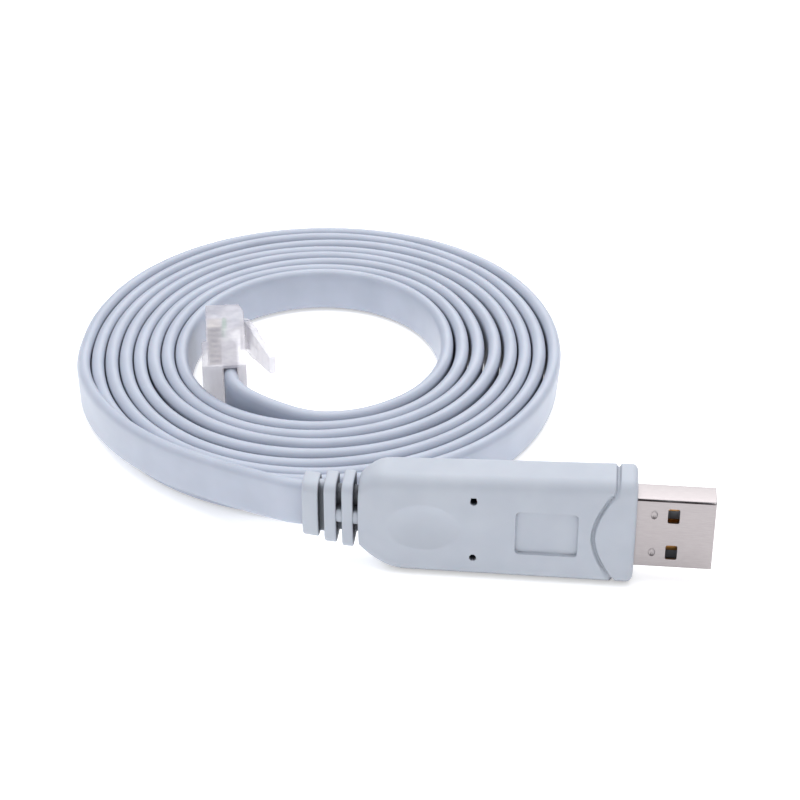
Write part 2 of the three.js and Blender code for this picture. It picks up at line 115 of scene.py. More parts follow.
# Camera, matched to the photograph's angle and lens
cameraView = {
    "place": (0.01050, -0.25188, 0.17424),
    "tilt": 60.0,
    "turn": 6.0,
    "lens": 90.0,
}
lens = bpy.data.cameras.new("photoCamera")
lens.lens = cameraView["lens"]
lens.sensor_width = 36.0
lens.clip_start = 0.01
photoCamera = bpy.data.objects.new("photoCamera", lens)
photoCamera.location = cameraView["place"]
photoCamera.rotation_euler = (math.radians(cameraView["tilt"]), 0, math.radians(cameraView["turn"]))
bpy.context.scene.collection.objects.link(photoCamera)
bpy.context.scene.camera = photoCamera
print("camera placed")


# Cable jacket: extruded soft PVC, which gives a cool grey with a low, waxy sheen
# and an even surface that is only just uneven along its length
jacketMaterial, tree, shader = startMaterial("softPvcExtrudedJacket", {
    "Roughness": 0.38, "IOR": 1.53, "Subsurface Weight": 0.08, "Subsurface Scale": 0.0008,
})
coords = addNode(tree, "ShaderNodeTexCoord")
# 6 mm blotches of pigment, and 0.4 mm unevenness left by the extruder
blotches = addNode(tree, "ShaderNodeTexNoise", {"Scale": 160.0, "Detail": 2.0},
                   {"Vector": (coords, "Object")})
tones = addNode(tree, "ShaderNodeValToRGB", links={"Fac": (blotches, "Fac")})
tones.color_ramp.elements[0].position = 0.3
tones.color_ramp.elements[0].color = linearColour("#ABB2C1")
tones.color_ramp.elements[1].position = 0.7
tones.color_ramp.elements[1].color = linearColour("#B2B9C8")
# painted shade darkens the jacket's colour in the gaps between the turns and where the cable lies close to
# other parts
paintCreviceShade(tree, shader, tones, 0.0016, "#5A5D68", (0.05, 0.42))
grain = addNode(tree, "ShaderNodeTexNoise", {"Scale": 2500.0, "Detail": 3.0},
                {"Vector": (coords, "Object")})
bump = addNode(tree, "ShaderNodeBump", {"Strength": 0.12, "Distance": 0.00006}, {"Height": (grain, "Fac")})
tree.links.new(bump.outputs["Normal"], shader.inputs["Normal"])

# The flat cable. A quarter's radius is that of the outermost turn there, less its gap for each turn
cable = {
    "width": 0.0077,
    "thickness": 0.0023,
    "centre": (-0.03574, 0.05426),
    "turn": 6.0,
    "turns": 8,
    "left": (0.04085, (2.45, 2.42, 2.42, 2.40, 2.38, 2.40, 2.40)),
    "back": (0.04620, (2.80, 2.90, 2.70, 2.65, 2.60, 2.50, 2.42)),
    "right": (0.04080, (2.65, 2.50, 2.50, 2.75, 2.95, 2.75, 2.50)),
    "front": (0.04460, (2.42, 2.60, 2.85, 3.45, 2.55, 2.50, 2.95)),
    "lean": 5.0,
    "lift": 0.00012,
    "spacing": 0.0018,
    # the stretch at each end that stays upright, and the ones over which the lean comes and goes
    "upright": 0.045,
    "leaning": 0.04,
    "straightening": 0.05,
}
leadPoints = [
    (-0.0300, 0.00085, 0.0087), (-0.0315, 0.0010, 0.0087), (-0.0332, 0.00135, 0.0086),
    (-0.0352, 0.0024, 0.0083), (-0.0383, 0.0042, 0.0078), (-0.0417, 0.0062, 0.0073),
    (-0.0453, 0.0082, 0.00695),
    (-0.0491, 0.0103, 0.00665), (-0.0541, 0.0132, 0.0064), (-0.0590, 0.0169, 0.00615),
    (-0.0636, 0.0214, 0.00575), (-0.0676, 0.0265, 0.00525), (-0.0712, 0.0322, 0.0048),
    (-0.0739, 0.0382, 0.0044), (-0.0756, 0.0442, 0.00405), (-0.07637, 0.04999, 0.00385),
]
tailPoints = [
    (-0.01371, 0.05658, 0.00385), (-0.01367, 0.05076, 0.00385), (-0.01482, 0.04495, 0.00385),
    (-0.01732, 0.03935, 0.00385), (-0.0214, 0.0345, 0.00385), (-0.0266, 0.0310, 0.00385),
    (-0.0323, 0.0295, 0.0040), (-0.0359, 0.0297, 0.00425), (-0.0394, 0.0305, 0.00475),
    (-0.0427, 0.0315, 0.00535), (-0.0452, 0.0324, 0.00605), (-0.0470, 0.0337, 0.0066),
    (-0.04795, 0.0352, 0.0069), (-0.04842, 0.0367, 0.00704),
    (-0.04940, 0.0416, 0.00704), (-0.05048, 0.0470, 0.00704),
]


def softStep(value):
    value = min(1, max(0, value))
    return value * value * (3 - 2 * value)


def turnRadius(quarter, turn):
    outer, gaps = cable[quarter]
    return outer - sum(gaps[:turn]) * mm


def coilPoints(perQuarter=6):
    # clockwise from above: left, back, right, front, one turn further in each time
    points = []
    for turn in range(cable["turns"]):
        radii = [turnRadius("left", turn), turnRadius("back", turn), turnRadius("right", turn)]
        if turn < cable["turns"] - 1:
            radii += [turnRadius("front", turn), turnRadius("left", turn + 1)]
        for quarter in range(len(radii) - 1):
            for step in range(perQuarter):
                part = step / perQuarter * math.pi / 2
                radius = radii[quarter] * math.cos(part) ** 2 + radii[quarter + 1] * math.sin(part) ** 2
                bearing = math.radians(180 + cable["turn"] - 90 * quarter) - part
                lift = cable["lift"] * (1 + math.sin(3 * bearing + 2.1 * turn))
                points.append((
                    cable["centre"][0] + radius * math.cos(bearing),
                    cable["centre"][1] + radius * math.sin(bearing),
                    cable["width"] / 2 + lift,
                ))
    return points


def smoothLine(points, spacing):
    # centripetal Catmull-Rom through the points, resampled to an even spacing
    points = [Vector(p) for p in points]
    ends = [points[0] * 2 - points[1]] + points + [points[-1] * 2 - points[-2]]
    fine = []
    for a, b, c, d in zip(ends, ends[1:], ends[2:], ends[3:]):
        times = [0.0]
        for first, second in ((a, b), (b, c), (c, d)):
            times.append(times[-1] + max((second - first).length, 1e-7) ** 0.5)
        steps = max(6, int((c - b).length / spacing * 4))
        for step in range(steps):
            t = times[1] + (times[2] - times[1]) * step / steps
            ab = a.lerp(b, (t - times[0]) / (times[1] - times[0]))
            bc = b.lerp(c, (t - times[1]) / (times[2] - times[1]))
            cd = c.lerp(d, (t - times[2]) / (times[3] - times[2]))
            abc = ab.lerp(bc, (t - times[0]) / (times[2] - times[0]))
            bcd = bc.lerp(cd, (t - times[1]) / (times[3] - times[1]))
            fine.append(abc.lerp(bcd, (t - times[1]) / (times[2] - times[1])))
    fine.append(points[-1])
    lengths = [0.0]
    for first, second in zip(fine, fine[1:]):
        lengths.append(lengths[-1] + (second - first).length)
    count = max(2, round(lengths[-1] / spacing))
    even = []
    at = 0
    for step in range(count + 1):
        target = lengths[-1] * step / count
        while at < len(fine) - 2 and lengths[at + 1] < target:
            at += 1
        span = lengths[at + 1] - lengths[at]
        even.append(fine[at].lerp(fine[at + 1], min(1, max(0, (target - lengths[at]) / span))))
    return even, lengths[-1]


def flatSection(width, thickness, edgeSteps=6, faceSteps=3):
    # (across, along the width) of a strip with full-round edges
    edge = thickness / 2
    straight = width / 2 - edge
    points = []
    for side in (1, -1):
        for step in range(edgeSteps + 1):
            angle = math.pi * step / edgeSteps
            points.append((side * edge * math.cos(angle), side * (straight + edge * math.sin(angle))))
        for step in range(1, faceSteps + 1):
            points.append((-side * edge, side * straight * (1 - 2 * step / (faceSteps + 1))))
    return points


def sweepStrip(name, line, section, leanAt, material):
    corners, faces = [], []
    for i, point in enumerate(line):
        ahead = (line[min(i + 1, len(line) - 1)] - line[max(i - 1, 0)]).normalized()
        across = Vector((-ahead.y, ahead.x, 0)).normalized()
        upward = across.cross(-ahead).normalized()
        if upward.z < 0:
            upward = -upward
        lean = math.radians(leanAt(i))
        for x, z in section:
            corners.append(point + across * (x * math.cos(lean) + z * math.sin(lean))
                           + upward * (z * math.cos(lean) - x * math.sin(lean)))
    ring = len(section)
    for i in range(len(line) - 1):
        for j in range(ring):
            k = (j + 1) % ring
            faces.append((i * ring + j, i * ring + k, (i + 1) * ring + k, (i + 1) * ring + j))
    faces.append(tuple(range(ring))[::-1])
    last = (len(line) - 1) * ring
    faces.append(tuple(last + j for j in range(ring)))
    return makeObject(name, corners, faces, material)


cableRoute = leadPoints[:-1] + coilPoints() + tailPoints
cableLine, cableLength = smoothLine(cableRoute, cable["spacing"])


def cableLean(i):
    # upright at both ends, leaning outward at the top in the coil
    run = cableLength * i / (len(cableLine) - 1)
    start = softStep((run - cable["upright"]) / cable["leaning"])
    finish = softStep((cableLength - cable["upright"] - run) / cable["straightening"])
    return cable["lean"] * start * finish


cableSection = flatSection(cable["width"], cable["thickness"])
flatCable = sweepStrip("flatCable", cableLine, cableSection, cableLean, jacketMaterial)
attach(flatCable, "cable")
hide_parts("cable_lead", "cable_coil", "cable_tail")
print("cable laid, metres long:", round(cableLength, 3))

# USB moulding: moulded grey PVC over the circuit, spark-textured in the tool, which gives a
# matt, cool grey with soft highlights along its edges
mouldingMaterial, tree, shader = startMaterial("mattMouldedPvc", {
    "Roughness": 0.55, "IOR": 1.53, "Subsurface Weight": 0.05, "Subsurface Scale": 0.0006,
})
coords = addNode(tree, "ShaderNodeTexCoord")
# 5 mm flow marks, and the tool's 0.15 mm spark texture
flow = addNode(tree, "ShaderNodeTexNoise", {"Scale": 190.0, "Detail": 2.0}, {"Vector": (coords, "Object")})
tones = addNode(tree, "ShaderNodeValToRGB", links={"Fac": (flow, "Fac")})
tones.color_ramp.elements[0].position = 0.3
tones.color_ramp.elements[0].color = linearColour("#AEB4BF")
tones.color_ramp.elements[1].position = 0.7
tones.color_ramp.elements[1].color = linearColour("#B4BAC4")
# painted shade darkens the moulding's colour in the relief's slots, the groove, the panel's edges and the
# indicator holes
paintCreviceShade(tree, shader, tones, 0.0016, "#33353C", (0.18, 0.70))
spark = addNode(tree, "ShaderNodeTexVoronoi", {"Scale": 6500.0}, {"Vector": (coords, "Object")})
bump = addNode(tree, "ShaderNodeBump", {"Strength": 0.10, "Distance": 0.00003},
               {"Height": (spark, "Distance")})
tree.links.new(bump.outputs["Normal"], shader.inputs["Normal"])

usbBody = {
    "rear": -0.0220, "face": 0.0194, "axis": 0.0087,
    "heightBehind": 0.0165, "height": 0.0178, "thickness": 0.0088, "corner": 0.0021, "crown": 0.00040,
    "rearTop": 0.0143, "rearBottom": 0.0031, "rearThickness": 0.0066,
    "topFlare": 0.0040, "bottomFlare": 0.0074, "sideFlare": 0.0060,
    "edgeRound": 0.0010, "pocketDepth": 0.0012,
    # the opening for the shell: height, thickness and corner
    "pocket": (0.01224, 0.00474, 0.00072),
    # how far in from its broad faces the dimples, holes and panel are cut
    "faceBand": 0.0012,
    # half the height that the rows of points on a broad face are spaced for, with the corner
    "rowsHalf": 0.0086,
}
dimple = {"x": -0.0121, "length": 0.0110, "height": 0.0078, "depth": 0.00085, "rim": 0.04}
indicator = {"x": -0.0046, "spread": 0.0099, "radius": 0.00048, "depth": 0.0018, "wall": 0.00012}
panel = {
    "x": 0.0063, "length": 0.0092, "height": 0.0073, "corner": 0.0006, "depth": 0.00052, "bevel": 0.00010,
}
groove = {
    "width": 0.00074, "depth": 0.00048, "slopeOver": 0.0003,
    # height from the axis, and how far behind the front face
    "line": [(-0.0087, 0.0028), (-0.0081, 0.0031), (-0.0036, 0.0054), (-0.0002, 0.00625),
             (0.0027, 0.0058), (0.00615, 0.0042), (0.0075, 0.0031), (0.0087, 0.0029)],
}


def blendCurve(points, at):
    # smooth value at one place along a rising list of (place, value)
    at = min(max(at, points[0][0]), points[-1][0])
    i = max(k for k in range(len(points) - 1) if points[k][0] <= at)
    before, after = points[max(i - 1, 0)], points[min(i + 2, len(points) - 1)]
    (x0, y0), (x1, y1) = points[i], points[i + 1]
    slope0 = (y1 - before[1]) / (x1 - before[0])
    slope1 = (after[1] - y0) / (after[0] - x0)
    t = (at - x0) / (x1 - x0)
    return ((2 * t ** 3 - 3 * t ** 2 + 1) * y0 + (t ** 3 - 2 * t ** 2 + t) * (x1 - x0) * slope0
            + (3 * t ** 2 - 2 * t ** 3) * y1 + (t ** 3 - t ** 2) * (x1 - x0) * slope1)


def roundedSection(height, thickness, radius, rows, crown=0.0, cornerSteps=6, capSteps=3):
    # (y, z) around a rounded rectangle, its broad faces divided at rows from -1 to 1
    points = []
    straight = height / 2 - radius
    flat = thickness / 2 - radius

    def corner(centreY, centreZ, startAngle):
        for step in range(1, cornerSteps):
            angle = math.radians(startAngle + 90 * step / cornerSteps)
            points.append((centreY + radius * math.cos(angle), centreZ + radius * math.sin(angle)))

    def cap(sign):
        for step in range(capSteps + 1):
            points.append((sign * (flat - crown) * (1 - 2 * step / capSteps), sign * height / 2))

    for row in rows:
        points.append((thickness / 2 - crown * row * row, row * straight))
    corner(flat - crown, straight, 0)
    cap(1)
    corner(-flat + crown, straight, 90)
    for row in reversed(rows):
        points.append((-thickness / 2 + crown * row * row, row * straight))
    corner(-flat + crown, -straight, 180)
    cap(-1)
    corner(flat - crown, -straight, 270)
    return points


def loftRings(rings, closeLoop=False):
    count = len(rings[0])
    corners = [p for ring in rings for p in ring]
    faces = []
    pairs = [(i, i + 1) for i in range(len(rings) - 1)] + ([(len(rings) - 1, 0)] if closeLoop else [])
    for a, b in pairs:
        for j in range(count):
            k = (j + 1) % count
            faces.append((a * count + j, a * count + k, b * count + k, b * count + j))
    if not closeLoop:
        faces.append(tuple(range(count))[::-1])
        faces.append(tuple((len(rings) - 1) * count + j for j in range(count)))
    return corners, faces


def bodyEnds(x):
    # the top, the bottom and the thickness of the moulding at x
    run = x - usbBody["rear"]
    whole = usbBody["face"] - usbBody["rear"]
    top = usbBody["heightBehind"] + (usbBody["height"] - usbBody["heightBehind"]) * run / whole
    top -= (usbBody["heightBehind"] - usbBody["rearTop"]) * max(0, 1 - run / usbBody["topFlare"]) ** 2
    bottom = usbBody["rearBottom"] * max(0, 1 - run / usbBody["bottomFlare"]) ** 2
    thickness = usbBody["thickness"]
    thickness -= (thickness - usbBody["rearThickness"]) * max(0, 1 - run / usbBody["sideFlare"]) ** 2
    return top, bottom, thickness


def spread(marks):
    # evenly spaced values between marks of (start, step), the last mark ends it
    values = []
    for (start, step), (end, _) in zip(marks, marks[1:]):
        count = max(1, round((end - start) / step))
        values += [start + (end - start) * k / count for k in range(count)]
    return values + [marks[-1][0]]


def roundedDistance(x, z, halfX, halfZ, radius):
    # how far outside a rounded rectangle a point lies, negative inside
    a, b = abs(x) - halfX + radius, abs(z) - halfZ + radius
    return math.hypot(max(a, 0), max(b, 0)) + min(max(a, b), 0) - radius


def surfaceDepth(x, y, z):
    # how far the dimples, panel, indicator holes and groove go in at a point of the moulding
    height = z - usbBody["axis"]
    setback = blendCurve(groove["line"], height)
    nearby = groove["slopeOver"]
    rise = blendCurve(groove["line"], height + nearby) - blendCurve(groove["line"], height - nearby)
    slope = rise / 2 / nearby
    away = abs(x - (usbBody["face"] - setback)) / math.hypot(1, slope)
    depth = groove["depth"] * math.cos(math.pi / 2 * min(1, away / (groove["width"] / 2))) ** 0.8
    faceStart = usbBody["thickness"] / 2 - usbBody["faceBand"]
    if abs(y) > faceStart:
        reach = math.hypot((x - dimple["x"]) / (dimple["length"] / 2), height / (dimple["height"] / 2))
        # a shallow bowl with a rim that is only just rounded
        bowl, rim = 1 - reach * reach, dimple["rim"]
        depth += dimple["depth"] * (bowl if bowl > rim else max(0, bowl + rim) ** 2 / 4 / rim)
    if y < -faceStart:
        outside = roundedDistance(x - panel["x"], height, panel["length"] / 2, panel["height"] / 2,
                                  panel["corner"])
        depth += panel["depth"] * softStep(0.5 - outside / panel["bevel"])
        for side in (-1, 1):
            hole = math.hypot(x - indicator["x"], height - side * indicator["spread"] / 2)
            wall = indicator["wall"]
            depth += indicator["depth"] * softStep((indicator["radius"] + wall / 2 - hole) / wall)
    return depth


# stations lie closer together at the indicator holes, the panel's ends and the groove
panelLeft = panel["x"] - panel["length"] / 2
panelRight = panel["x"] + panel["length"] / 2
stations = spread([
    (usbBody["rear"], 0.00030), (indicator["x"] - 0.0006, 0.00007), (indicator["x"] + 0.0006, 0.0005),
    (panelLeft - 0.0002, 0.00006), (panelLeft + 0.0008, 0.0006), (panelRight - 0.0008, 0.00006),
    (panelRight + 0.0002, 0.00045), (0.0128, 0.00009), (0.0171, 0.0003),
    (usbBody["face"] - usbBody["edgeRound"], 1),
])
# rows lie closer together at the panel's edges and the indicator holes
straightHalf = usbBody["rowsHalf"] - usbBody["corner"]
rowMarks = spread([
    (0, 0.0003), (0.0028, 0.00007), (0.0040, 0.00025), (0.0044, 0.00007), (0.0055, 0.0003), (straightHalf, 1),
])
rows = [-mark / straightHalf for mark in reversed(rowMarks[1:])] + [mark / straightHalf for mark in rowMarks]
rings = []
for x in stations:
    top, bottom, thickness = bodyEnds(x)
    middle = (top + bottom) / 2
    radius = min(usbBody["corner"], thickness / 2 - 0.0006, (top - bottom) / 2 - 0.001)
    ring = []
    section = roundedSection(top - bottom, thickness, radius, rows, usbBody["crown"])
    for k, (y, z) in enumerate(section):
        before, after = section[k - 1], section[(k + 1) % len(section)]
        inward = Vector((0, before[1] - after[1], after[0] - before[0])).normalized()
        point = Vector((x, y, z + middle))
        ring.append(point + inward * surfaceDepth(*point))
    rings.append(ring)
top, bottom, thickness = bodyEnds(usbBody["face"])
for step in range(1, 6):
    turn = math.radians(90 * step / 5)
    inset = usbBody["edgeRound"] * (1 - math.cos(turn))
    x = usbBody["face"] - usbBody["edgeRound"] * (1 - math.sin(turn))
    section = roundedSection(top - bottom - 2 * inset, thickness - 2 * inset,
                             usbBody["corner"] - inset * 0.6, rows, usbBody["crown"])
    rings.append([Vector((x, y, z + (top + bottom) / 2)) for y, z in section])
pocket = roundedSection(*usbBody["pocket"], rows)
for x in (usbBody["face"], usbBody["face"] - usbBody["pocketDepth"]):
    rings.append([Vector((x, y, z + usbBody["axis"])) for y, z in pocket])
bodyCorners, bodyFaces = loftRings(rings)

# Strain relief: three rings on a sleeve that grips the cable, with short bridges between them
relief = {
    # start, end, height and thickness of each ring
    "rings": [(-0.0307, -0.0282, 0.0095, 0.0054), (-0.02725, -0.0254, 0.0104, 0.0060),
              (-0.0245, -0.0228, 0.0111, 0.0064)],
    "corner": 0.0015, "edge": 0.00028, "crown": 0.00012, "sag": 0.0010, "length": 0.0090,
    # height, thickness, corner and edge
    "sleeve": (0.0080, 0.0025, 0.0012, 0.0001),
    "firstBridge": (0.0089, 0.0022, 0.0009, 0.00005),
    "bridgeHeight": 0.0023, "bridgeInset": 0.0005, "bridgeCorner": 0.0004, "bridgeEdge": 0.00005,
    # how far a bridge goes into the ring behind it and the one ahead
    "bridgeEnds": (0.0003, 0.0004),
    "sleeveEnds": (0.0004, 0.0012),
}


def bendRelief(x, y, z):
    back = max(0, (usbBody["rear"] - x) / relief["length"])
    return Vector((x, y + relief["sag"] * back * back, z + usbBody["axis"]))


def softBlock(low, high, height, thickness, radius, edge):
    rings = []
    for step in range(4):
        turn = math.radians(90 * step / 3)
        inset = edge * (1 - math.sin(turn))
        rings.append((low + edge * (1 - math.cos(turn)), inset))
    for step in range(4):
        turn = math.radians(90 - 90 * step / 3)
        inset = edge * (1 - math.sin(turn))
        rings.append((high - edge * (1 - math.cos(turn)), inset))
    blockRows = [-1, -0.5, 0, 0.5, 1]
    return loftRings([
        [bendRelief(x, y, z) for y, z in roundedSection(height - 2 * inset, thickness - 2 * inset,
                                                        max(radius - inset, 0.0001), blockRows,
                                                        relief["crown"])]
        for x, inset in rings])


parts = [(bodyCorners, bodyFaces)]
for start, end, height, thickness in relief["rings"]:
    parts.append(softBlock(start, end, height, thickness, relief["corner"], relief["edge"]))
sleeveStart, sleeveEnd = relief["sleeveEnds"]
parts.append(softBlock(relief["rings"][0][0] + sleeveStart, usbBody["rear"] + sleeveEnd, *relief["sleeve"]))
nextStarts = [ring[0] for ring in relief["rings"][1:]] + [usbBody["rear"]]
backward, forward = relief["bridgeEnds"]
for number, (ring, nextStart) in enumerate(zip(relief["rings"], nextStarts)):
    sizes = relief["firstBridge"]
    if number:
        sizes = (relief["bridgeHeight"], ring[3] - relief["bridgeInset"], relief["bridgeCorner"],
                 relief["bridgeEdge"])
    parts.append(softBlock(ring[1] - backward, nextStart + forward, *sizes))
allCorners, allFaces = [], []
for corners, faces in parts:
    allFaces += [tuple(len(allCorners) + k for k in face) for face in faces]
    allCorners += corners
usbMoulding = makeObject("usbMoulding", allCorners, allFaces, mouldingMaterial, sharpAngle=50)
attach(usbMoulding, "cable")
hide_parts("usb_moulding")
print("moulding made")


# USB shell: stamped steel with bright nickel plating, folded round with a seam, which gives a
# warm grey mirror softened by rolling marks along it
shellMaterial, tree, shader = startMaterial("nickelPlatedStampedSteel", {"Metallic": 1.0, "Roughness": 0.3})
coords = addNode(tree, "ShaderNodeTexCoord")
stretch = addNode(tree, "ShaderNodeMapping", {"Scale": (1.0, 12.0, 12.0)}, {"Vector": (coords, "Object")})
# rolling marks 0.1 mm apart and about a millimetre long
rolling = addNode(tree, "ShaderNodeTexNoise", {"Scale": 800.0, "Detail": 3.0},
                  {"Vector": (stretch, "Vector")})
tones = addNode(tree, "ShaderNodeValToRGB", links={"Fac": (rolling, "Fac")})
tones.color_ramp.elements[0].color = linearColour("#989293")
tones.color_ramp.elements[1].color = linearColour("#ACA6A7")
tree.links.new(tones.outputs["Color"], shader.inputs["Base Color"])
rough = addNode(tree, "ShaderNodeMapRange", {"To Min": 0.26, "To Max": 0.38}, {"Value": (rolling, "Fac")})
tree.links.new(rough.outputs["Result"], shader.inputs["Roughness"])

shell = {
    "rear": 0.0125, "tip": 0.0310, "height": 0.0120, "thickness": 0.0045, "corner": 0.00045,
    "sheet": 0.0003, "lip": 0.00008,
    "windowX": 0.02488, "windowSize": (0.00176, 0.0025), "windowSpread": 0.0064, "windowCorner": 0.0003,
    "seamStart": 0.0175, "seamStop": 0.00025, "seamHeight": 0.00028, "seamBelowTop": 0.00012,
    "seamDepth": 0.0004,
    "markX": 0.0220, "markSpread": 0.0066,
    # how far above the middle of its mark each dent lies, its radius and its depth
    "marks": ((0.0, 0.00060, 0.00026), (-0.00036, 0.00030, 0.00029)),
    "markShape": (0.85, 1.3),
    # a cutter that starts here is clear of the shell
    "outside": 0.004,
}


def shellRing(x, inset):
    section = roundedSection(shell["height"] - 2 * inset, shell["thickness"] - 2 * inset,
                             max(shell["corner"] - inset, 0.0002), [-1, 0, 1], cornerSteps=5, capSteps=1)
    return [Vector((x, y, z + usbBody["axis"])) for y, z in section]


lip = shell["lip"]
corners, faces = loftRings([
    shellRing(shell["rear"], 0), shellRing(shell["tip"] - lip, 0), shellRing(shell["tip"], lip),
    shellRing(shell["tip"], shell["sheet"] - lip), shellRing(shell["tip"] - lip, shell["sheet"]),
    shellRing(shell["rear"], shell["sheet"]),
], closeLoop=True)
usbShell = makeObject("usbShell", corners, faces, shellMaterial, sharpAngle=30)


def cutWith(obj, corners, faces):
    mesh = bpy.data.meshes.new("cutter")
    mesh.from_pydata([tuple(c) for c in corners], [], faces)
    cutter = bpy.data.objects.new("cutter", mesh)
    bpy.context.scene.collection.objects.link(cutter)
    cut = obj.modifiers.new("cut", "BOOLEAN")
    cut.operation = "DIFFERENCE"
    cut.solver = "EXACT"
    cut.use_self = True
    cut.object = cutter
    with bpy.context.temp_override(object=obj, active_object=obj, selected_objects=[obj]):
        bpy.ops.object.modifier_apply(modifier="cut")
    bpy.data.objects.remove(cutter)


def cutBlock(obj, low, high):
    (x0, y0, z0), (x1, y1, z1) = low, high
    corners = [(x, y, z) for z in (z0, z1) for x, y in ((x0, y0), (x1, y0), (x1, y1), (x0, y1))]
    faces = [(0, 3, 2, 1), (4, 5, 6, 7), (0, 1, 5, 4), (1, 2, 6, 5), (2, 3, 7, 6), (3, 0, 4, 7)]
    cutWith(obj, corners, faces)


def roundedPrism(centre, sizeX, sizeZ, radius, lowY, highY, steps=4):
    outline = []
    for quarter, (signX, signZ) in enumerate(((1, 1), (-1, 1), (-1, -1), (1, -1))):
        for step in range(steps + 1):
            angle = math.radians(90 * quarter + 90 * step / steps)
            outline.append((centre[0] + signX * (sizeX / 2 - radius) + radius * math.cos(angle),
                            centre[1] + signZ * (sizeZ / 2 - radius) + radius * math.sin(angle)))
    return loftRings([[(x, y, z) for x, z in outline] for y in (highY, lowY)])


for side in (-1, 1):
    cutWith(usbShell, *roundedPrism((shell["windowX"], usbBody["axis"] + side * shell["windowSpread"] / 2),
                                    *shell["windowSize"], shell["windowCorner"], -shell["outside"],
                                    shell["outside"]))
seamTop = usbBody["axis"] + shell["height"] / 2 - shell["seamBelowTop"]
cutBlock(usbShell, (shell["seamStart"], -shell["outside"], seamTop - shell["seamHeight"]),
         (shell["tip"] - shell["seamStop"], -shell["thickness"] / 2 + shell["seamDepth"], seamTop))
wide, tall = shell["markShape"]
for side in (-1, 1):
    for above, radius, depth in shell["marks"]:
        # each stamped mark is a shallow oval dent with a small deeper one at its foot
        markZ = usbBody["axis"] + side * shell["markSpread"] / 2 + above
        rings = []
        for k in range(1, 8):
            turn = math.radians(180 * k / 8)
            rings.append([(shell["markX"] + radius * math.sin(turn) * math.cos(a) * wide,
                           -shell["thickness"] / 2 + depth * math.cos(turn),
                           markZ + radius * tall * math.sin(turn) * math.sin(a))
                          for a in [math.radians(30 * n) for n in range(12)]])
        cutWith(usbShell, *loftRings(rings))
usbShell.data.shade_smooth()
usbShell.data.set_sharp_from_angle(angle=math.radians(30))
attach(usbShell, "cable")
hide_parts("usb_shell")

# Insulator: moulded glass-filled PBT, a dull slate grey
tongueMaterial, tree, shader = startMaterial("mouldedGreyPbt", {"Roughness": 0.5, "IOR": 1.57})
coords = addNode(tree, "ShaderNodeTexCoord")
fibres = addNode(tree, "ShaderNodeTexNoise", {"Scale": 1500.0, "Detail": 3.0}, {"Vector": (coords, "Object")})
tones = addNode(tree, "ShaderNodeValToRGB", links={"Fac": (fibres, "Fac")})
tones.color_ramp.elements[0].color = linearColour("#8E9298")
tones.color_ramp.elements[1].color = linearColour("#A4A8AE")
tree.links.new(tones.outputs["Color"], shader.inputs["Base Color"])

# Contacts: gold over nickel on phosphor bronze, warm and bright, unevenly worn
goldMaterial, tree, shader = startMaterial("goldPlatedBronze", {"Metallic": 1.0, "Roughness": 0.28})
coords = addNode(tree, "ShaderNodeTexCoord")
wear = addNode(tree, "ShaderNodeTexNoise", {"Scale": 1200.0, "Detail": 2.0}, {"Vector": (coords, "Object")})
tones = addNode(tree, "ShaderNodeValToRGB", links={"Fac": (wear, "Fac")})
tones.color_ramp.elements[0].color = linearColour("#B8803F")
tones.color_ramp.elements[1].color = linearColour("#D9A566")
tree.links.new(tones.outputs["Color"], shader.inputs["Base Color"])

# Blades of the modular plug: a thin gold flash over nickel, so they look paler than the contacts
bladeMaterial, tree, shader = startMaterial("goldFlashedNickel", {"Metallic": 1.0, "Roughness": 0.32})
coords = addNode(tree, "ShaderNodeTexCoord")
wear = addNode(tree, "ShaderNodeTexNoise", {"Scale": 1500.0, "Detail": 2.0}, {"Vector": (coords, "Object")})
tones = addNode(tree, "ShaderNodeValToRGB", links={"Fac": (wear, "Fac")})
tones.color_ramp.elements[0].color = linearColour("#D6CBAE")
tones.color_ramp.elements[1].color = linearColour("#EBE3CC")
tree.links.new(tones.outputs["Color"], shader.inputs["Base Color"])
for name, node in frame["nodes"].items():
    if name == "usb_insulator":
        node.data.materials.clear()
        node.data.materials.append(tongueMaterial)
    if "contact" in name:
        node.data.materials.clear()
        node.data.materials.append(bladeMaterial if name.startswith("rj45") else goldMaterial)
print("shell, insulator and contacts made")


# Modular plug: injection-moulded clear polycarbonate. Its many thin walls scatter the light, so
# the eye gets a milky, see-through white with bright edges
clearMaterial, tree, shader = startMaterial("clearMouldedPolycarbonate", {
    "Roughness": 0.10, "IOR": 1.585, "Alpha": 0.46,
})
coords = addNode(tree, "ShaderNodeTexCoord")
# streaks 1.7 mm apart and eight times as tall, where the walls and ribs inside bend the light
stretch = addNode(tree, "ShaderNodeMapping", {"Scale": (1.0, 1.0, 0.12)}, {"Vector": (coords, "Object")})
ripples = addNode(tree, "ShaderNodeTexNoise", {"Scale": 600.0, "Detail": 1.0},
                  {"Vector": (stretch, "Vector")})
tones = addNode(tree, "ShaderNodeValToRGB", links={"Fac": (ripples, "Fac")})
tones.color_ramp.elements[0].position = 0.32
tones.color_ramp.elements[0].color = linearColour("#CDCAD4")
tones.color_ramp.elements[1].position = 0.68
tones.color_ramp.elements[1].color = linearColour("#DEDCE3")
tree.links.new(tones.outputs["Color"], shader.inputs["Base Color"])
bump = addNode(tree, "ShaderNodeBump", {"Strength": 0.20, "Distance": 0.00006},
               {"Height": (ripples, "Fac")})
tree.links.new(bump.outputs["Normal"], shader.inputs["Normal"])

